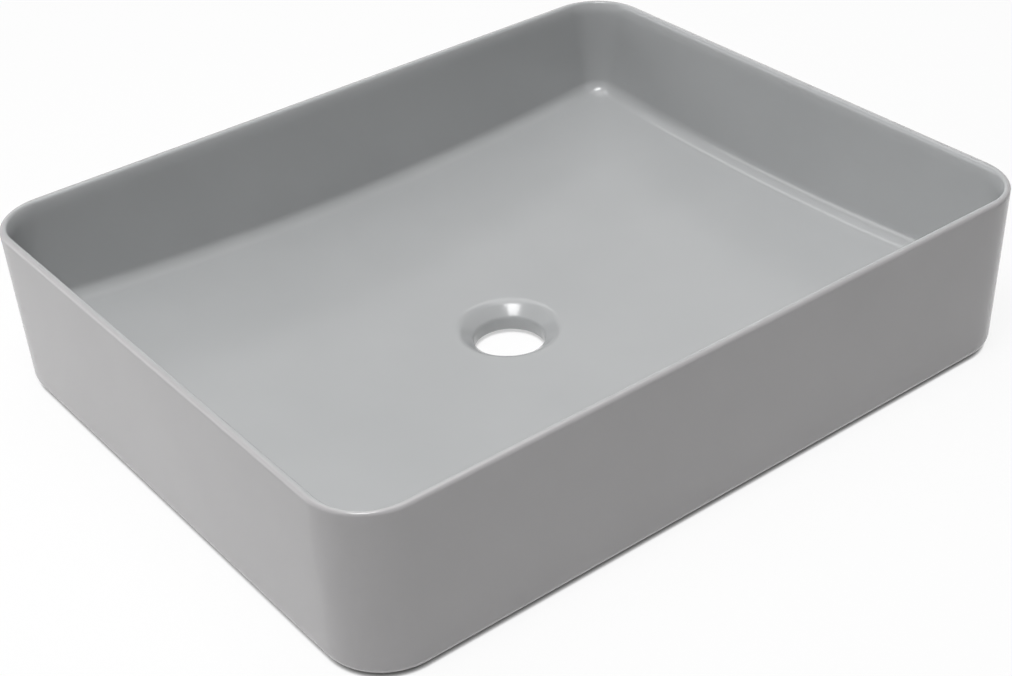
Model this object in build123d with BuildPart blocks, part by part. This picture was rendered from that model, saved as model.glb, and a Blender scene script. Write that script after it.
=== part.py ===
"""Countertop vessel basin: one ceramic casting that stands on four silicone pads.

Millimetres. The origin is on the counter, under the middle of the outlet.
+X runs along the long side, +Y towards the back and +Z up.
"""

import os
from math import radians, sqrt, tan

from build123d import *

# Outer form of the casting
length = 500.0
width = 400.0
body_height = 108.8
corner_radius = 38.0
end_draft = 3.0
side_draft = 1.5
foot_edge_radius = 7.0

# Walls and rim: the wall thins towards the rim on its inner side
rim_thickness = 5.2
rim_edge_radius = 1.8
rim_corner_radius = 30.0
wall_thickness = 8.8
lip_height = 13.0
lip_radius = 10.0
bowl_corner_radius = 18.0
bowl_end_draft = 3.5
bowl_side_draft = 0.5

# Bowl floor, measured up from the foot face to its lowest point
floor_level = 17.8
floor_fall = 13.8
floor_thickness = 9.0
bowl_fillet = 9.0

# Outlet: a round dish that falls to a plain bore
outlet_diameter = 45.0
dish_depth = 7.4
dish_slope = 37.5
dish_lip_radius = 5.8
bore_edge_radius = 4.0

# Underside: foot ring, recess and outlet boss
foot_ring_width = 14.0
recess_fillet = 5.0
boss_diameter = 96.0
boss_setback = 1.5
boss_root_fillet = 4.0
small_edge_radius = 0.8

# Pads under the foot ring
pad_thickness = 1.2
pad_diameter = 12.0
pad_edge_radius = 0.3

# How far a cutting solid runs past the face that it cuts
overrun = 5.0

# Levels above the counter
foot_face = pad_thickness
rim_top = foot_face + body_height
floor_low = foot_face + floor_level
roof_low = floor_low - floor_thickness
boss_face = foot_face + boss_setback
bore_top = floor_low - dish_depth

# Sizes that follow from the ones above
foot_length = length - 2 * end_draft
foot_width = width - 2 * side_draft
floor_radius = ((length / 2) ** 2 + floor_fall**2) / (2 * floor_fall)
outlet_radius = outlet_diameter / 2
boss_radius = boss_diameter / 2
recess_inset = foot_edge_radius + foot_ring_width


def upright_block(bottom, top, bottom_size, top_size, corner):
    """A block with four flat leaning sides and one corner radius all the way up."""
    with BuildPart() as block:
        with BuildSketch(Plane.XZ):
            Polygon(
                (-bottom_size[0] / 2, bottom),
                (bottom_size[0] / 2, bottom),
                (top_size[0] / 2, top),
                (-top_size[0] / 2, top),
                align=None,
            )
        extrude(amount=max(bottom_size[1], top_size[1]), both=True)
        with BuildSketch(Plane.YZ):
            Polygon(
                (-bottom_size[1] / 2, bottom),
                (bottom_size[1] / 2, bottom),
                (top_size[1] / 2, top),
                (-top_size[1] / 2, top),
                align=None,
            )
        extrude(amount=max(bottom_size[0], top_size[0]), both=True, mode=Mode.INTERSECT)
        upright_edges = block.edges().group_by(Axis.Z)[1]
        fillet(upright_edges, radius=corner)
    return block.part


def bowl_size(level):
    """Length and width between the bowl's wall faces, which lean in towards the foot."""
    lean = (rim_top - level) / body_height
    return (
        length - 2 * wall_thickness - 2 * bowl_end_draft * lean,
        width - 2 * wall_thickness - 2 * bowl_side_draft * lean,
    )


def lip_size(level):
    """Length and width between the faces that widen the bowl towards the rim."""
    inset = rim_thickness + (wall_thickness - rim_thickness) * (rim_top - level) / lip_height
    return (length - 2 * inset, width - 2 * inset)


def dished_space(lowest):
    """The inside of a very large ball whose lowest point is on the outlet axis.

    The ball's poles lie along Y, so that neither pole nor seam falls on the floor.
    """
    with BuildPart() as space:
        with Locations((0, 0, floor_low + floor_radius)):
            Sphere(floor_radius + floor_low - lowest, rotation=(90, 0, 0))
    return space.part


# The hollow of the bowl with its dished floor, outlet dish and bore
hollow_bottom = floor_low - overrun
hollow_top = rim_top + overrun
lip_bottom = rim_top - lip_height - overrun
lip_middle = rim_top - lip_height / 2
bore_bottom = boss_face - overrun
dish_top = floor_low + overrun
dish_top_radius = outlet_radius + (dish_top - bore_top) / tan(radians(dish_slope))

with BuildPart() as bowl_hollow:
    add(
        upright_block(
            hollow_bottom,
            hollow_top,
            bowl_size(hollow_bottom),
            bowl_size(hollow_top),
            bowl_corner_radius,
        )
    )
    add(
        upright_block(
            lip_bottom,
            hollow_top,
            lip_size(lip_bottom),
            lip_size(hollow_top),
            rim_corner_radius,
        )
    )
    lip_edges = bowl_hollow.edges().filter_by_position(Axis.Z, lip_bottom, lip_middle)
    fillet(lip_edges, radius=lip_radius)
    add(dished_space(floor_low), mode=Mode.INTERSECT)
    floor_face = bowl_hollow.faces().filter_by(GeomType.SPHERE)
    fillet(floor_face.edges(), radius=bowl_fillet)
    with BuildSketch(Plane.XZ):
        Polygon(
            (0, bore_bottom),
            (outlet_radius, bore_bottom),
            (outlet_radius, bore_top),
            (dish_top_radius, dish_top),
            (0, dish_top),
            align=None,
        )
    revolve(axis=Axis.Z)
    dish_face = bowl_hollow.faces().filter_by(GeomType.CONE)
    dish_rings = dish_face.edges().filter_by(GeomType.LINE, reverse=True).sort_by(Axis.Z)
    fillet(dish_rings[1:], radius=dish_lip_radius)
    bore_rings = bowl_hollow.edges().filter_by(GeomType.CIRCLE).sort_by(Axis.Z)
    fillet(bore_rings[1], radius=bore_edge_radius)

# The recess in the underside, whose roof follows the floor of the bowl
recess_bottom = foot_face - overrun

with BuildPart() as underside_recess:
    with BuildSketch(Plane.XY.offset(recess_bottom)):
        RectangleRounded(
            foot_length - 2 * recess_inset,
            foot_width - 2 * recess_inset,
            corner_radius - recess_inset,
        )
    extrude(amount=floor_low + floor_fall - recess_bottom)
    add(dished_space(roof_low), mode=Mode.SUBTRACT)
    roof_face = underside_recess.faces().filter_by(GeomType.SPHERE)
    fillet(roof_face.edges(), radius=recess_fillet)

# The casting
with BuildPart() as basin_body:
    add(
        upright_block(
            foot_face,
            rim_top,
            (foot_length, foot_width),
            (length, width),
            corner_radius,
        )
    )
    foot_outline = basin_body.faces().sort_by(Axis.Z)[0].edges()
    fillet(foot_outline, radius=foot_edge_radius)
    add(underside_recess.part, mode=Mode.SUBTRACT)

    with BuildSketch(Plane.XY.offset(boss_face)):
        Circle(boss_radius)
    extrude(amount=floor_low - boss_face)
    boss_wall = basin_body.faces().filter_by(GeomType.CYLINDER).sort_by_distance(
        (0, 0, boss_face)
    )[0]
    boss_rings = boss_wall.edges().filter_by(GeomType.CIRCLE).sort_by(Axis.Z)
    fillet(boss_rings[-1], radius=boss_root_fillet)
    fillet(boss_rings[0], radius=small_edge_radius)

    add(bowl_hollow.part, mode=Mode.SUBTRACT)
    rim_face = basin_body.faces().sort_by(Axis.Z)[-1]
    fillet(rim_face.edges(), radius=rim_edge_radius)
    bore_wall = basin_body.faces().filter_by(GeomType.CYLINDER).sort_by_distance(
        (0, 0, boss_face)
    )[0]
    bore_mouth = bore_wall.edges().filter_by(GeomType.CIRCLE).sort_by(Axis.Z)[0]
    fillet(bore_mouth, radius=small_edge_radius)
basin_body.part.label = "basin_body"

os.makedirs("parts", exist_ok=True)
export_step(basin_body.part, "parts/basin_body.step")

# The pads stick to the foot ring, on its middle line, one at each round corner
pad_line_inset = foot_edge_radius + foot_ring_width / 2
pad_arc_radius = corner_radius - pad_line_inset
pad_x = foot_length / 2 - corner_radius + pad_arc_radius * sqrt(0.5)
pad_y = foot_width / 2 - corner_radius + pad_arc_radius * sqrt(0.5)

for depth_name, y_side in (("front", -1), ("back", 1)):
    for side_name, x_side in (("left", -1), ("right", 1)):
        with BuildPart() as pad:
            with BuildSketch():
                with Locations((x_side * pad_x, y_side * pad_y)):
                    Circle(pad_diameter / 2)
            extrude(amount=pad_thickness)
            fillet(pad.edges().group_by(Axis.Z)[0], radius=pad_edge_radius)
        pad.part.label = f"pad_{depth_name}_{side_name}"
        export_step(pad.part, f"parts/{pad.part.label}.step")
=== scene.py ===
# %% [markdown]
# A countertop basin in grey glazed ceramic
#
# The real object is one ceramic casting: thin upright walls, a rounded rim, a floor that falls
# gently to a round outlet, and a hollow underside with a narrow foot. It stands on four small
# silicone pads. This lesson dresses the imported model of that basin. The casting is made again
# as one clean mesh, because long soft highlights need even, well ordered faces.

from math import acos, cos, degrees, pi, radians, sin, tan

import bpy
from mathutils import Matrix, Vector


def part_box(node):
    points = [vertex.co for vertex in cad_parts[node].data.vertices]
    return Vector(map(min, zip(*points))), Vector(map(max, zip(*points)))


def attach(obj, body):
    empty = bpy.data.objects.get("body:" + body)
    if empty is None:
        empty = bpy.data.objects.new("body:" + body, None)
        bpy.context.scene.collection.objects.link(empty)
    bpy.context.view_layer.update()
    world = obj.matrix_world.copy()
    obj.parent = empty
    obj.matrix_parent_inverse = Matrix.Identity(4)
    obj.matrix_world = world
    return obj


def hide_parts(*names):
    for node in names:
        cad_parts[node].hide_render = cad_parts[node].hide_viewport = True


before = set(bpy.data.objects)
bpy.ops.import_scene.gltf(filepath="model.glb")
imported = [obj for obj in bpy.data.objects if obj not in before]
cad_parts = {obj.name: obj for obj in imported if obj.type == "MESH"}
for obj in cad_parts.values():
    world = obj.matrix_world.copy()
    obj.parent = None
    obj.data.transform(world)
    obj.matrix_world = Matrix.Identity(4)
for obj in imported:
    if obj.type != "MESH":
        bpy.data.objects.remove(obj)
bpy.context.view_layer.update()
body_low, body_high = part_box("basin_body")
print("nodes:", sorted(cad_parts))
print("basin body from", tuple(body_low), "to", tuple(body_high))

# %% [markdown]
# The camera comes first, because everything else is judged through it. The basin was looked at
# from its left front corner and from above, with a long lens that was tilted by a few degrees.
# The three axes of the camera are worked out from those angles, so the numbers stay readable.

# %% Camera
MM = 0.001

view_azimuth = radians(-36.43)
view_elevation = radians(33.45)
view_roll = radians(-2.95)
view_distance = 1187.0 * MM
slide_right = -8.54 * MM
slide_up = 9.05 * MM
image_width = 1012
focal_length_px = 1867.02
sensor_width = 36.0
frame_offset_px = 9.4
far_clip = 50.0


def camera_axes(azimuth, elevation, roll):
    """Right, up and backward directions of a camera that looks at the origin."""
    back = Vector(
        (sin(azimuth) * cos(elevation), -cos(azimuth) * cos(elevation), sin(elevation))
    )
    level = Vector((cos(azimuth), sin(azimuth), 0.0))
    upward = back.cross(level)
    right = level * cos(roll) + upward * sin(roll)
    return right, back.cross(right), back


camera_data = bpy.data.cameras.new("studio_camera")
camera = bpy.data.objects.new("studio_camera", camera_data)
bpy.context.scene.collection.objects.link(camera)
bpy.context.scene.camera = camera

right, up, back = camera_axes(view_azimuth, view_elevation, view_roll)
camera.matrix_world = Matrix.Translation(
    back * view_distance + right * slide_right + up * slide_up
) @ Matrix((right, up, back)).transposed().to_4x4()
camera_data.sensor_width = sensor_width
camera_data.lens = focal_length_px / image_width * sensor_width
camera_data.shift_x = frame_offset_px / image_width
camera_data.clip_end = far_clip
print("lens", round(camera_data.lens, 1), "mm, camera at", camera.matrix_world.translation)

# %% [markdown]
# The casting follows one rule: every horizontal ring round it is the outer outline moved inwards
# by some amount. Only near the outlet do the rings turn from rounded rectangles into circles.
# So two short lists describe the whole form. The outline says where each point of a ring lies,
# and which way is outwards there. The profile says, ring by ring, how far in and how high it is.

# %% Sizes of the casting
rim_height = body_high[2]
foot_height = body_low[2]
body_height = rim_height - foot_height

# The rounded rim takes a little off the leaning walls, so the sharp outline is slightly larger
rim_length = 500.0 * MM
rim_width = 400.0 * MM
corner_radius = 38.0 * MM
end_draft = 3.0 * MM
side_draft = 1.5 * MM
rim_edge_radius = 2.0 * MM
rim_thickness = 5.2 * MM
rim_corner_radius = 30.0 * MM
wall_thickness = 6.3 * MM
lip_radius = 34.0 * MM
bowl_corner_radius = 17.0 * MM
corner_change_depth = 60.0 * MM
bowl_end_draft = 6.8 * MM
bowl_side_draft = 3.8 * MM
foot_edge_radius = 7.0 * MM
floor_height = 19.0 * MM
floor_radius = 2270.0 * MM
floor_thickness = 9.0 * MM
bowl_fillet = 9.0 * MM
outlet_radius = 22.5 * MM
dish_depth = 7.4 * MM
dish_slope_degrees = 37.5
dish_slope = radians(dish_slope_degrees)
dish_lip_radius = 10.0 * MM
bore_edge_radius = 4.0 * MM
small_round = 0.8 * MM
boss_radius = 48.0 * MM
boss_setback = 1.5 * MM
boss_root_round = 4.0 * MM
foot_ring_width = 14.0 * MM
recess_round = 5.0 * MM
support_gap = 1.2 * MM
print("body height", round(body_height / MM, 1), "mm")


# %% The outline of a ring
def rounded_outline(length, width, radius, long_steps, short_steps, corner_steps):
    """Points of a rounded rectangle, anticlockwise, each with its outward direction."""
    half_x, half_y = length / 2 - radius, width / 2 - radius
    centres = ((half_x, half_y), (-half_x, half_y), (-half_x, -half_y), (half_x, -half_y))
    runs = (long_steps, short_steps, long_steps, short_steps)
    points = []
    for quarter, (centre, run) in enumerate(zip(centres, runs)):
        start = quarter * pi / 2
        arc = []
        for step in range(corner_steps + 1):
            angle = start + step / corner_steps * pi / 2
            outward = Vector((cos(angle), sin(angle), 0.0))
            arc.append((Vector((*centre, 0.0)) + outward * radius, outward))
        points += arc
        last, outward = arc[-1]
        following = centres[(quarter + 1) % 4]
        span = Vector((*following, 0.0)) - Vector((*centre, 0.0))
        points += [(last + span * (step / run), outward) for step in range(1, run)]
    return points


outline = rounded_outline(
    rim_length, rim_width, corner_radius, long_steps=32, short_steps=24, corner_steps=16
)
print("points in a ring:", len(outline))


# %% Helpers for the rings
# Each ring is (inset, height, follow, inner, squaring, roundness, ring radius, glaze).
# follow says how much the ring rises with the dished floor, inner is 1 on the bowl's own wall,
# squaring pushes the corners out so that their radius shrinks, roundness turns the rounded
# rectangle into a circle, and glaze is 0 where the clay is bare.
ring_attributes = ("follow", "inner", "squaring", "roundness", "ring_radius", "glaze")


def arc_angles(first, last, steps):
    """Angles from first to last degrees, both included, in radians."""
    return [radians(first + (last - first) * step / steps) for step in range(steps + 1)]


def ring(
    inset, height, follow=0.0, inner=0.0, squaring=0.0, roundness=0.0, radius=0.0, glaze=1.0
):
    """A ring that keeps to the outline, moved inwards by its inset."""
    return (inset, height, follow, inner, squaring, roundness, radius, glaze)


def circle(radius, height, follow=0.0):
    """A ring that is a circle round the outlet."""
    return ring(0.0, height, follow, roundness=1.0, radius=radius)


print("a plain ring at the rim:", ring(0.0, rim_height))

# %% [markdown]
# The profile is listed as a walk over the surface: up the outside from the foot, over the rim,
# down the inner wall, across the floor, through the outlet, and back under the floor to the
# foot. Each round takes a few rings. A flat stretch needs only a ring near each of its ends,
# which keeps the shading between the rounds flat.

# %% Outer wall and rim
outer_rings = [
    ring(
        foot_edge_radius * (1 - cos(angle)),
        foot_height + foot_edge_radius * (1 + sin(angle)),
    )
    for angle in arc_angles(-90, 0, steps=12)
]
outer_rings.append(ring(0.0, foot_height + foot_edge_radius + support_gap))
outer_rings.append(ring(0.0, rim_height - rim_edge_radius - support_gap))
outer_rings += [
    ring(
        rim_edge_radius * (1 - cos(angle)),
        rim_height - rim_edge_radius * (1 - sin(angle)),
    )
    for angle in arc_angles(0, 90, steps=8)
]
print("outer rings:", len(outer_rings))

# %% [markdown]
# Inside, the rim turns down over a small round and then over a wide, shallow one that runs out
# on the wall. The wide one carries the bright band below the rim. The upright corners are
# rounder at the rim than lower down, so their radius changes gently over the upper wall.

# %% Lip of the rim
lip_depth = wall_thickness - rim_thickness
lip_turn = degrees(acos(1 - lip_depth / lip_radius))
lip_height = lip_radius * sin(radians(lip_turn))
small_turn = 90 - lip_turn
flat_end = rim_thickness - rim_edge_radius * sin(radians(small_turn))
lip_top = rim_height - rim_edge_radius * (1 - cos(radians(small_turn)))
lip_foot = lip_top - lip_height


def smooth_step(share):
    """A share from 0 to 1 that starts and ends gently."""
    return share * share * (3 - 2 * share)


def inner_ring(inset, height):
    """A ring of the bowl's wall, with the corner radius that belongs to its height.

    On top of the rim the squaring grows from nothing, so that no ring crosses the outer ones.
    """
    share = min(1.0, (rim_height - height) / corner_change_depth)
    change = (bowl_corner_radius - rim_corner_radius) * smooth_step(share)
    turned = min(1.0, (inset - rim_edge_radius) / (rim_thickness - rim_edge_radius))
    squaring = (corner_radius - inset - rim_corner_radius) * turned - change
    return ring(inset, height, inner=1.0, squaring=squaring)


lip_rings = [
    inner_ring(
        flat_end + rim_edge_radius * sin(angle),
        rim_height - rim_edge_radius * (1 - cos(angle)),
    )
    for angle in arc_angles(0, small_turn, steps=7)
]
lip_rings += [
    inner_ring(
        wall_thickness - lip_radius * (1 - cos(angle)),
        lip_foot + lip_radius * sin(angle),
    )
    for angle in arc_angles(lip_turn, 0, steps=9)[1:]
]
print("lip:", round(lip_height / MM, 1), "mm high,", len(lip_rings), "rings")

# %% Inner wall and the round at its foot
wall_foot = rim_height - corner_change_depth
wall_steps = 10
wall_squaring = corner_radius - wall_thickness - bowl_corner_radius
fillet_top = floor_height + bowl_fillet


def bowl_ring(inset, height, **shape):
    """A ring at the foot of the wall or on the floor, which rises with the dished floor."""
    return ring(inset, height, follow=1.0, inner=1.0, squaring=wall_squaring, **shape)


wall_rings = [
    inner_ring(wall_thickness, lip_foot + (wall_foot - lip_foot) * step / wall_steps)
    for step in range(1, wall_steps + 1)
]
wall_rings.append(bowl_ring(wall_thickness, fillet_top + support_gap))
wall_rings += [
    bowl_ring(
        wall_thickness + bowl_fillet * (1 - cos(angle)),
        fillet_top - bowl_fillet * sin(angle),
    )
    for angle in arc_angles(0, 90, steps=18)
]
print("wall rings:", len(wall_rings))

# %% [markdown]
# On the floor the rings have to change from the rounded rectangle of the wall to the circle of
# the outlet. Even steps of roundness do that without a seam. The outlet is a dish with a soft
# lip and a straight slope, and then a plain round hole.

# %% Floor and outlet
floor_steps = 20
sharp_edge = outlet_radius + dish_depth / tan(dish_slope)
lip_start = sharp_edge + dish_lip_radius * tan(dish_slope / 2)
floor_rings = [
    bowl_ring(
        wall_thickness + bowl_fillet,
        floor_height,
        roundness=step / floor_steps,
        radius=lip_start,
    )
    for step in range(1, floor_steps)
]

dish_rings = [
    circle(
        lip_start - dish_lip_radius * sin(angle),
        floor_height - dish_lip_radius * (1 - cos(angle)),
        follow=1.0,
    )
    for angle in arc_angles(0, dish_slope_degrees, steps=8)
]
bore_tangent = bore_edge_radius * tan((pi / 2 - dish_slope) / 2)
slope_end_radius = outlet_radius + bore_tangent * cos(dish_slope)
slope_end_height = floor_height - dish_depth + bore_tangent * sin(dish_slope)
dish_rings += [
    circle(
        slope_end_radius - bore_edge_radius * (sin(angle) - sin(dish_slope)),
        slope_end_height - bore_edge_radius * (cos(dish_slope) - cos(angle)),
    )
    for angle in arc_angles(dish_slope_degrees, 90, steps=8)[1:]
]
print("dish:", round(2 * lip_start / MM, 1), "mm across,", len(dish_rings), "rings")

# %% [markdown]
# The underside is out of sight in use, but it belongs to the object. The floor has a hollow
# below it, so that the clay is about as thick there as in the walls and fires evenly. A flat
# boss takes the washer of the waste, and a narrow foot ring, bare of glaze, carries the basin.

# %% Boss, recess and foot ring
boss_face = foot_height + boss_setback
boss_rings = [
    circle(
        outlet_radius + small_round * (1 - cos(angle)),
        boss_face + small_round * (1 - sin(angle)),
    )
    for angle in arc_angles(0, 90, steps=5)
]
boss_rings += [
    circle(
        boss_radius - small_round * (1 - cos(angle)),
        boss_face + small_round * (1 - sin(angle)),
    )
    for angle in arc_angles(90, 0, steps=5)
]

roof_height = floor_height - floor_thickness
boss_rings += [
    circle(
        boss_radius + boss_root_round * (1 - cos(angle)),
        roof_height - boss_root_round * (1 - sin(angle)),
        follow=1.0,
    )
    for angle in arc_angles(0, 90, steps=6)
]

recess_inset = foot_edge_radius + foot_ring_width
roof_steps = 14
recess_rings = [
    ring(
        recess_inset + recess_round,
        roof_height,
        follow=1.0,
        roundness=1 - step / roof_steps,
        radius=boss_radius + boss_root_round,
    )
    for step in range(1, roof_steps)
]
recess_rings += [
    ring(
        recess_inset + recess_round * (1 - sin(angle)),
        roof_height - recess_round * (1 - cos(angle)),
        follow=1.0,
    )
    for angle in arc_angles(0, 90, steps=8)
]
recess_rings += [
    ring(
        recess_inset - small_round * (1 - cos(angle)),
        foot_height + small_round * (1 - sin(angle)),
        glaze=0.0,
    )
    for angle in arc_angles(0, 90, steps=4)
]
recess_rings.append(ring(foot_edge_radius + support_gap, foot_height, glaze=0.0))

profile = (
    outer_rings + lip_rings + wall_rings + floor_rings + dish_rings + boss_rings + recess_rings
)
print("rings in all:", len(profile))

# %% [markdown]
# Geometry Nodes can't read a Python list, so both lists become meshes of loose points. The
# numbers of each ring and the directions of each outline point go along as attributes.

# %% Store both lists as meshes
def points_object(name, places, attributes):
    """An object of loose points with one named list of numbers or vectors per attribute."""
    mesh = bpy.data.meshes.new(name)
    mesh.from_pydata(places, [], [])
    for key, values in attributes.items():
        is_vector = isinstance(values[0], Vector)
        kind = "FLOAT_VECTOR" if is_vector else "FLOAT"
        layer = mesh.attributes.new(key, kind, "POINT")
        for item, value in zip(layer.data, values):
            if is_vector:
                item.vector = value
            else:
                item.value = value
    holder = bpy.data.objects.new(name, mesh)
    bpy.context.scene.collection.objects.link(holder)
    return holder


straight_x, straight_y = rim_length / 2 - corner_radius, rim_width / 2 - corner_radius
stretch = [
    Vector(
        (
            max(-1.0, min(1.0, place.x / straight_x)),
            max(-1.0, min(1.0, place.y / straight_y)),
            0.0,
        )
    )
    - outward
    for place, outward in outline
]
outline_points = points_object(
    "outline_points",
    [place for place, outward in outline],
    {"outward": [outward for place, outward in outline], "stretch": stretch},
)
profile_columns = list(zip(*profile))
profile_points = points_object(
    "profile_points",
    [(inset, 0.0, height) for inset, height in zip(profile_columns[0], profile_columns[1])],
    dict(zip(ring_attributes, profile_columns[2:])),
)
print("outline attributes:", outline_points.data.attributes.keys())
print("profile attributes:", profile_points.data.attributes.keys())

# %% [markdown]
# A Geometry Nodes tree lays a grid of points, rings by columns, and moves each one to its place.
# It looks up the outline point of the column and the profile point of the ring. The walls lean,
# so the straight sides move in towards the foot while the corners keep their radius. The floor
# rises away from the outlet as the inside of a very large ball would.


# %% Helpers that keep node trees short
def new_group(name, kind, sockets):
    """A node group with named sockets, each given as (name, direction, type)."""
    tree = bpy.data.node_groups.new(name, kind)
    for label, direction, socket_type in sockets:
        tree.interface.new_socket(label, in_out=direction, socket_type=socket_type)
    return tree


def put(tree, kind, inputs=(), **settings):
    """Adds a node, sets its options, and fills its inputs with values or links."""
    node = tree.nodes.new(kind)
    for key, value in settings.items():
        setattr(node, key, value)
    for key, value in dict(inputs).items():
        if isinstance(value, bpy.types.NodeSocket):
            tree.links.new(value, node.inputs[key])
        else:
            node.inputs[key].default_value = value
    return node


def calc(tree, operation, *values):
    """A maths node on numbers; returns its result."""
    node = put(tree, "ShaderNodeMath", enumerate(values), operation=operation)
    return node.outputs[0]


def vector_calc(tree, operation, inputs):
    """A vector maths node; returns its result."""
    node = put(tree, "ShaderNodeVectorMath", inputs, operation=operation)
    return node.outputs[0]


# %% Where a point of the grid belongs
def whole(tree, value):
    """The value as a whole number."""
    return put(tree, "FunctionNodeFloatToInt", {0: value}, rounding_mode="ROUND").outputs[0]


def ring_and_column(tree, ring_size, ring_count):
    """Ring and column of each grid point; the last ring and column repeat the first."""
    columns = ring_size + 1
    index = tree.nodes.new("GeometryNodeInputIndex").outputs[0]
    row = calc(tree, "FLOOR", calc(tree, "DIVIDE", calc(tree, "ADD", index, 0.5), columns))
    column = calc(tree, "SUBTRACT", index, calc(tree, "MULTIPLY", row, columns))
    ring_index = whole(tree, calc(tree, "MODULO", row, ring_count))
    return ring_index, whole(tree, calc(tree, "MODULO", column, ring_size))


def sample(tree, source, where, name=None, kind="FLOAT"):
    """The value of an attribute, or the position, at one point of a source object."""
    info = put(tree, "GeometryNodeObjectInfo", {"Object": source})
    if name is None:
        field = tree.nodes.new("GeometryNodeInputPosition").outputs[0]
    else:
        named = put(tree, "GeometryNodeInputNamedAttribute", {"Name": name}, data_type=kind)
        field = named.outputs["Attribute"]
    inputs = {"Geometry": info.outputs["Geometry"], "Value": field, "Index": where}
    return put(tree, "GeometryNodeSampleIndex", inputs, data_type=kind).outputs["Value"]


# %% Moving a point to its place
def flat_place(tree, source, column, inset, squaring, roundness, ring_radius):
    """X and Y of a point: moved in from the outline, or on a circle near the outlet."""
    outer_place = sample(tree, source, column, kind="FLOAT_VECTOR")
    outward = sample(tree, source, column, "outward", "FLOAT_VECTOR")
    stretch_way = sample(tree, source, column, "stretch", "FLOAT_VECTOR")
    depth = calc(tree, "MULTIPLY", inset, -1.0)
    inwards = vector_calc(tree, "SCALE", {0: outward, "Scale": depth})
    outwards = vector_calc(tree, "SCALE", {0: stretch_way, "Scale": squaring})
    move = vector_calc(tree, "ADD", {0: inwards, 1: outwards})
    squared = vector_calc(tree, "ADD", {0: outer_place, 1: move})
    direction = vector_calc(tree, "NORMALIZE", {0: outer_place})
    circled = vector_calc(tree, "SCALE", {0: direction, "Scale": ring_radius})
    mix = {"Factor": roundness, 4: squared, 5: circled}
    blend = put(tree, "ShaderNodeMix", mix, data_type="VECTOR").outputs[1]
    flat = put(tree, "ShaderNodeSeparateXYZ", {0: blend}).outputs
    return flat["X"], flat["Y"]


def lifted(tree, x, y, height, follow, floor_size):
    """The height after the point has risen with the dished floor, as far as it follows it."""
    spread = calc(tree, "ADD", calc(tree, "MULTIPLY", x, x), calc(tree, "MULTIPLY", y, y))
    rise = calc(tree, "DIVIDE", spread, calc(tree, "MULTIPLY", floor_size, 2.0))
    return calc(tree, "ADD", height, calc(tree, "MULTIPLY", follow, rise))


def leaned(tree, coordinate, size, corner, draft, lean):
    """The coordinate after its wall has moved in by its draft at this height."""
    straight_half = calc(tree, "SUBTRACT", calc(tree, "DIVIDE", size, 2.0), corner)
    share = calc(tree, "DIVIDE", coordinate, straight_half)
    side = put(tree, "ShaderNodeClamp", {"Value": share, "Min": -1.0}).outputs[0]
    shift = calc(tree, "MULTIPLY", lean, draft)
    return calc(tree, "SUBTRACT", coordinate, calc(tree, "MULTIPLY", shift, side))


# %% The tree that makes the casting
FLOAT = "NodeSocketFloat"
merge_distance = 0.01 * MM
casting_inputs = {
    "Length": rim_length,
    "Width": rim_width,
    "Corner Radius": corner_radius,
    "Rim Height": rim_height,
    "Body Height": body_height,
    "End Draft": end_draft,
    "Side Draft": side_draft,
    "Bowl End Draft": bowl_end_draft,
    "Bowl Side Draft": bowl_side_draft,
    "Floor Radius": floor_radius,
}


def placed_points(tree, given, ring_index, column, ring_data):
    """Position of every grid point, worked out from its ring and its column."""
    ring_place = sample(tree, given["Profile"], ring_index, kind="FLOAT_VECTOR")
    ring_place = put(tree, "ShaderNodeSeparateXYZ", {0: ring_place}).outputs
    inset, height = ring_place["X"], ring_place["Z"]
    follow, inner, squaring, roundness, ring_radius, glaze = ring_data
    x, y = flat_place(tree, given["Outline"], column, inset, squaring, roundness, ring_radius)
    z = lifted(tree, x, y, height, follow, given["Floor Radius"])

    # The walls lean in towards the foot, and the circles near the outlet don't
    below_rim = calc(tree, "SUBTRACT", given["Rim Height"], z)
    lean = calc(tree, "DIVIDE", below_rim, given["Body Height"])
    lean = calc(tree, "MULTIPLY", lean, calc(tree, "SUBTRACT", 1.0, roundness))

    def draft(outer, bowl):
        """The draft of the outer wall, or that of the bowl on the bowl's own rings."""
        inputs = {"Factor": inner, "A": given[outer], "B": given[bowl]}
        return put(tree, "ShaderNodeMix", inputs).outputs[0]

    corner = given["Corner Radius"]
    end, side = draft("End Draft", "Bowl End Draft"), draft("Side Draft", "Bowl Side Draft")
    x = leaned(tree, x, given["Length"], corner, end, lean)
    y = leaned(tree, y, given["Width"], corner, side, lean)
    return put(tree, "ShaderNodeCombineXYZ", {"X": x, "Y": y, "Z": z}).outputs[0]


def with_attribute(tree, geometry, name, value):
    """The geometry with a number stored on each of its points."""
    return put(
        tree,
        "GeometryNodeStoreNamedAttribute",
        {"Geometry": geometry, "Name": name, "Value": value},
        data_type="FLOAT",
        domain="POINT",
    ).outputs[0]


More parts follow.
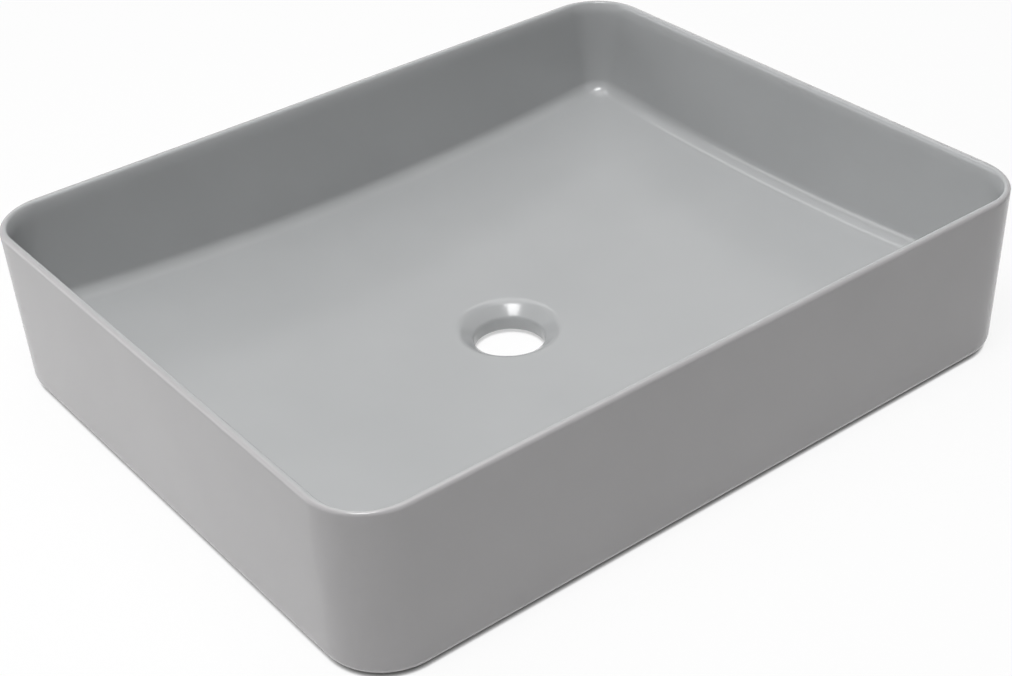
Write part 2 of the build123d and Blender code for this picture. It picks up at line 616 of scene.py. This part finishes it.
def build_casting_tree(ring_size, ring_count):
    """The tree: a grid of rings by columns, each point looked up, lifted and leaned."""
    sockets = [(name, "INPUT", FLOAT) for name in casting_inputs]
    sockets += [
        ("Outline", "INPUT", "NodeSocketObject"),
        ("Profile", "INPUT", "NodeSocketObject"),
        ("Material", "INPUT", "NodeSocketMaterial"),
        ("Geometry", "OUTPUT", "NodeSocketGeometry"),
    ]
    tree = new_group("casting_from_rings", "GeometryNodeTree", sockets)
    given = tree.nodes.new("NodeGroupInput").outputs
    ring_index, column = ring_and_column(tree, ring_size, ring_count)
    ring_data = [
        sample(tree, given["Profile"], ring_index, name) for name in ring_attributes
    ]
    follow, inner, squaring, roundness, ring_radius, glaze = ring_data
    position = placed_points(tree, given, ring_index, column, ring_data)

    size = {"Vertices X": ring_count + 1, "Vertices Y": ring_size + 1}
    shape = put(tree, "GeometryNodeMeshGrid", size).outputs["Mesh"]
    placing = {"Geometry": shape, "Position": position}
    shape = put(tree, "GeometryNodeSetPosition", placing).outputs[0]
    shape = with_attribute(tree, shape, "glaze", glaze)
    shape = with_attribute(tree, shape, "inside", calc(tree, "MAXIMUM", inner, roundness))
    closing = {"Geometry": shape, "Distance": merge_distance}
    shape = put(tree, "GeometryNodeMergeByDistance", closing).outputs[0]

    # The grid's faces look into the clay, so they are turned round
    shape = put(tree, "GeometryNodeFlipFaces", {"Mesh": shape}).outputs[0]
    shape = put(tree, "GeometryNodeSetShadeSmooth", {"Geometry": shape}).outputs[0]
    shape = put(tree, "GeometryNodeRealizeInstances", {"Geometry": shape}).outputs[0]
    dressing = {"Geometry": shape, "Material": given["Material"]}
    shape = put(tree, "GeometryNodeSetMaterial", dressing).outputs[0]
    put(tree, "NodeGroupOutput", {0: shape})
    return tree


casting_tree = build_casting_tree(len(outline), len(profile))
print("casting tree:", len(casting_tree.nodes), "nodes")

# %% [markdown]
# The tree runs once, on an empty object, and its result is kept as a plain mesh. The functions
# stand here and are called further on, when the glaze is there to go into the tree.


# %% Run a tree and keep its result as a plain mesh
def socket_id(tree, name):
    """The identifier of a tree's input, which a modifier needs in place of its name."""
    for item in tree.interface.items_tree:
        if item.item_type == "SOCKET" and item.in_out == "INPUT" and item.name == name:
            return item.identifier
    raise KeyError(name)


def grow_mesh(name, tree, values):
    """Evaluates a tree on an empty object and returns a new object with the plain mesh."""
    seed_object = bpy.data.objects.new(name + "_seed", bpy.data.meshes.new(name + "_seed"))
    bpy.context.scene.collection.objects.link(seed_object)
    modifier = seed_object.modifiers.new("nodes", "NODES")
    modifier.node_group = tree
    for label, value in values.items():
        modifier[socket_id(tree, label)] = value
    graph = bpy.context.evaluated_depsgraph_get()
    mesh = bpy.data.meshes.new_from_object(seed_object.evaluated_get(graph))
    mesh.name = name
    bpy.data.objects.remove(seed_object)
    grown = bpy.data.objects.new(name, mesh)
    bpy.context.scene.collection.objects.link(grown)
    return grown


# %% [markdown]
# The glaze is a satin grey. Up close it is never one flat colour: it thins over the rim, it has a
# faint cloudiness from the spray gun, and its skin is very slightly uneven; the material gives
# the cloudiness and the uneven skin. Where the casting stood in the kiln the clay is bare, paler
# and quite dull. One material holds both finishes and changes from one to the other by the glaze
# attribute that the tree has written. A second attribute, inside, makes the bowl a touch cooler
# than the outer walls. The glaze is the same all over, so this is a painted tint that stands in
# for the light inside the bowl.


# %% Cloudiness and fine skin, used by more than one finish
def build_cloud_group():
    """Slow and fine variation over a surface, from Object coordinates."""
    tree = new_group(
        "surface_cloud",
        "ShaderNodeTree",
        [
            ("Cloud Size", "INPUT", FLOAT),
            ("Skin Size", "INPUT", FLOAT),
            ("Cloud", "OUTPUT", FLOAT),
            ("Skin", "OUTPUT", FLOAT),
        ],
    )
    given = tree.nodes.new("NodeGroupInput").outputs
    place = tree.nodes.new("ShaderNodeTexCoord").outputs["Object"]

    def noise(size, detail):
        scale = calc(tree, "DIVIDE", 1.0, size)
        node = put(
            tree,
            "ShaderNodeTexNoise",
            {"Vector": place, "Scale": scale, "Detail": detail, "Roughness": 0.5},
        )
        return node.outputs["Fac"]

    ends = {"Cloud": noise(given["Cloud Size"], 2.0), "Skin": noise(given["Skin Size"], 3.0)}
    put(tree, "NodeGroupOutput", ends)
    return tree


cloud_group = build_cloud_group()


def add_cloud(tree, cloud_size, skin_size):
    """The group in a material's tree; returns the slow and the fine variation."""
    sizes = {"Cloud Size": cloud_size, "Skin Size": skin_size}
    node = put(tree, "ShaderNodeGroup", sizes, node_tree=cloud_group)
    return node.outputs["Cloud"], node.outputs["Skin"]


def ramp(tree, value, stops):
    """A colour ramp over a value; stops are (position, colour)."""
    node = put(tree, "ShaderNodeValToRGB", {"Fac": value})
    node.color_ramp.elements[0].position = stops[0][0]
    node.color_ramp.elements[0].color = (*stops[0][1], 1.0)
    node.color_ramp.elements[1].position = stops[-1][0]
    node.color_ramp.elements[1].color = (*stops[-1][1], 1.0)
    for position, colour in stops[1:-1]:
        element = node.color_ramp.elements.new(position)
        element.color = (*colour, 1.0)
    return node.outputs["Color"]


def new_material(name):
    """A material with a Principled shader; returns it, its tree and the shader node."""
    material = bpy.data.materials.new(name)
    material.use_nodes = True
    tree = material.node_tree
    shader = next(node for node in tree.nodes if node.type == "BSDF_PRINCIPLED")
    return material, tree, shader


print("cloud group:", len(cloud_group.nodes), "nodes")


# %% Grey glaze over pale clay
# The inside and outside tones are one grey glaze. The bowl's cooler tint and the outer walls'
# warmer one are painted, and stand in for the different light on each side.
inside_dark = (0.424, 0.432, 0.437)
inside_light = (0.446, 0.454, 0.459)
outside_dark = (0.440, 0.431, 0.437)
outside_light = (0.462, 0.453, 0.459)
clay_dark = (0.48, 0.45, 0.40)
clay_light = (0.60, 0.57, 0.52)
glaze_roughness = 0.19
clay_roughness = 0.85
glaze_cloud_size = 90.0 * MM
glaze_skin_size = 6.0 * MM
glaze_skin_depth = 0.1 * MM


def make_glaze():
    """The casting's finish: satin glaze with a painted cooler tint inside, and bare clay on the
    foot.
    """
    material, tree, shader = new_material("grey_satin_glaze")
    clouds, skin = add_cloud(tree, glaze_cloud_size, glaze_skin_size)

    def mask(name):
        """An attribute of the casting as a factor."""
        return put(tree, "ShaderNodeAttribute", attribute_name=name).outputs["Fac"]

    def blend(factor, first, second):
        """The first colour where the factor is 0, the second where it is 1."""
        inputs = {"Factor": factor, 6: first, 7: second}
        return put(tree, "ShaderNodeMix", inputs, data_type="RGBA").outputs[2]

    outside_painted_cast = ramp(tree, clouds, ((0.3, outside_dark), (0.7, outside_light)))
    inside_painted_cast = ramp(tree, clouds, ((0.3, inside_dark), (0.7, inside_light)))
    clay_colour = ramp(tree, skin, ((0.35, clay_dark), (0.65, clay_light)))
    # The painted cooler tint of the light in the bowl goes where the inside attribute is 1
    glaze_colour = blend(mask("inside"), outside_painted_cast, inside_painted_cast)
    colour = blend(mask("glaze"), clay_colour, glaze_colour)
    tree.links.new(colour, shader.inputs["Base Color"])
    finish_range = {"Value": mask("glaze"), "To Min": clay_roughness, "To Max": glaze_roughness}
    roughness = put(tree, "ShaderNodeMapRange", finish_range).outputs[0]
    tree.links.new(roughness, shader.inputs["Roughness"])
    unevenness = {"Strength": 0.15, "Distance": glaze_skin_depth, "Height": skin}
    bump = put(tree, "ShaderNodeBump", unevenness)
    tree.links.new(bump.outputs[0], shader.inputs["Normal"])
    shader.inputs["IOR"].default_value = 1.5
    return material


glaze_material = make_glaze()
print("glaze:", len(glaze_material.node_tree.nodes), "nodes")

# %% [markdown]
# The pads are small discs of clear silicone that has gone slightly grey. They are hardly seen,
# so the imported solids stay, with a soft semi-clear rubber finish.


# %% Silicone
silicone_dark = (0.30, 0.30, 0.29)
silicone_light = (0.36, 0.36, 0.35)
silicone_cloud_size = 4.0 * MM
silicone_skin_size = 0.6 * MM
silicone_skin_depth = 0.05 * MM


def make_silicone():
    """Greyish translucent rubber with a fine skin."""
    material, tree, shader = new_material("grey_silicone")
    clouds, skin = add_cloud(tree, silicone_cloud_size, silicone_skin_size)
    colour = ramp(tree, clouds, ((0.3, silicone_dark), (0.7, silicone_light)))
    tree.links.new(colour, shader.inputs["Base Color"])
    unevenness = {"Strength": 0.2, "Distance": silicone_skin_depth, "Height": skin}
    bump = put(tree, "ShaderNodeBump", unevenness)
    tree.links.new(bump.outputs[0], shader.inputs["Normal"])
    shader.inputs["Roughness"].default_value = 0.5
    shader.inputs["Subsurface Weight"].default_value = 0.3
    shader.inputs["Subsurface Scale"].default_value = 2.0 * MM
    return material


silicone_material = make_silicone()
for name, node_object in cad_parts.items():
    if name.startswith("pad_"):
        node_object.data.materials.clear()
        node_object.data.materials.append(silicone_material)
        print("silicone on", name)

# %% [markdown]
# Now the casting itself. It takes the place of the imported solid and rides on the one body that
# the basin has.

# %% Make the casting and put it in the frame
sources = {"Outline": outline_points, "Profile": profile_points, "Material": glaze_material}
basin = grow_mesh("basin_casting", casting_tree, casting_inputs | sources)
for helper in (outline_points, profile_points):
    bpy.data.objects.remove(helper)

corners = [vertex.co for vertex in basin.data.vertices]
print("casting:", len(basin.data.polygons), "faces")
for axis in range(3):
    print("  axis", axis, min(c[axis] for c in corners), max(c[axis] for c in corners))

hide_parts("basin_body")
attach(basin, "root")

# %% [markdown]
# The basin stands on a white table in a white studio. The table and the background have to show
# as clean white without any extra light on the basin. So what the camera sees of them glows by
# itself, and so does what it sees in the glaze or through the outlet. Where the gap under the
# basin is narrow, the glow fades and the table's colour turns almost black. This painted contact
# shadow is the thin dark line along its foot.

# %% Table
table_size = 6.0
contact_reach = 3.0 * MM
# Colour of the painted contact shadow in the narrow gap under the foot
painted_contact_shadow = (0.08, 0.07, 0.06)
table_pale = (0.92, 0.92, 0.92)
glow_share = 0.9
glow_fade = 2.5
WHITE = (1.0, 1.0, 1.0, 1.0)

table_mesh = bpy.data.meshes.new("table")
half = table_size / 2
table_mesh.from_pydata(
    [(-half, -half, 0.0), (half, -half, 0.0), (half, half, 0.0), (-half, half, 0.0)],
    [],
    [(0, 1, 2, 3)],
)
table = bpy.data.objects.new("table", table_mesh)
bpy.context.scene.collection.objects.link(table)


def seen_by_camera(tree):
    """1 for what the camera sees, straight, in a reflection or through glass, and else 0."""
    rays = tree.nodes.new("ShaderNodeLightPath").outputs
    seen = calc(tree, "MAXIMUM", rays["Is Camera Ray"], rays["Is Glossy Ray"])
    return calc(tree, "MAXIMUM", seen, rays["Is Transmission Ray"])


def make_table_finish():
    """White table: plain white where it is seen, matt and pale where it throws light back, and
    painted dark in the narrow gap under the basin.
    """
    material = bpy.data.materials.new("white_table")
    material.use_nodes = True
    tree = material.node_tree
    tree.nodes.clear()
    gap = put(tree, "ShaderNodeAmbientOcclusion", {"Distance": contact_reach}, samples=16)
    openness = gap.outputs["AO"]
    # Painted contact shadow: the matt colour turns almost black as the gap under the basin closes
    shade = ramp(tree, openness, ((0.2, painted_contact_shadow), (0.9, table_pale)))
    matt = put(tree, "ShaderNodeBsdfDiffuse", {"Color": shade}).outputs[0]
    glow = put(tree, "ShaderNodeEmission", {"Color": WHITE, "Strength": 1.0}).outputs[0]
    clear = calc(tree, "MULTIPLY", calc(tree, "POWER", openness, glow_fade), glow_share)
    amount = calc(tree, "MULTIPLY", seen_by_camera(tree), clear)
    mix = put(tree, "ShaderNodeMixShader", {0: amount, 1: matt, 2: glow})
    put(tree, "ShaderNodeOutputMaterial", {"Surface": mix.outputs[0]})
    return material


table.data.materials.append(make_table_finish())
print("table:", table_size, "m wide, contact line within", contact_reach / MM, "mm")

# %% [markdown]
# The world follows the same rule: white to the camera, and nearly dark for the light that it
# throws on the basin. All shading then comes from the lamps.

# %% World
ambient_strength = 0.05
background_strength = 1.0
world = bpy.data.worlds.new("studio")
bpy.context.scene.world = world
world.use_nodes = True
world_tree = world.node_tree
world_tree.nodes.clear()


def background(strength):
    """White light of the given strength, as a shader for the world."""
    inputs = {"Color": WHITE, "Strength": strength}
    return put(world_tree, "ShaderNodeBackground", inputs).outputs[0]


world_mix = put(
    world_tree,
    "ShaderNodeMixShader",
    {
        0: seen_by_camera(world_tree),
        1: background(ambient_strength),
        2: background(background_strength),
    },
)
put(world_tree, "ShaderNodeOutputWorld", {"Surface": world_mix.outputs[0]})
print("world: ambient", ambient_strength, "and background", background_strength)

# %% [markdown]
# One small lamp stands high on the left. It makes the crisp spots in the far corner of the bowl,
# in the dish of the outlet and on the rim. Large lamps do the rest: the low ones behind the basin
# lift the inner side of its near walls and graze the floor, and the high ones even it all out.


# %% Lamps
def add_softbox(name, azimuth, elevation, distance, size, power):
    """A square area lamp, placed by its azimuth from +X and its elevation, facing the basin."""
    data = bpy.data.lights.new(name, "AREA")
    data.shape = "SQUARE"
    data.size = size
    data.energy = power
    lamp = bpy.data.objects.new(name, data)
    around, above = radians(azimuth), radians(elevation)
    towards = Vector((cos(around) * cos(above), sin(around) * cos(above), sin(above)))
    lamp.location = towards * distance
    lamp.rotation_euler = towards.to_track_quat("Z", "Y").to_euler()
    bpy.context.scene.collection.objects.link(lamp)
    print(name, power, "W")


add_softbox("key_softbox", azimuth=209, elevation=70.5, distance=2.0, size=0.66, power=22)
fill_distance = 2.5
fill_size = 1.4
fill_lamps = (
    ("low_back_left", 135, 12, 15),
    ("high_back_right", 60, 60, 12),
    ("overhead", 0, 90, 12),
    ("low_back_right", 45, 12, 3),
    ("high_left", 180, 60, 3),
)
for name, azimuth, elevation, power in fill_lamps:
    add_softbox(name + "_softbox", azimuth, elevation, fill_distance, fill_size, power)

# %% [markdown]
# Last comes the plain view transform, so that colours show as they were made.

bpy.context.scene.view_settings.view_transform = "Standard"
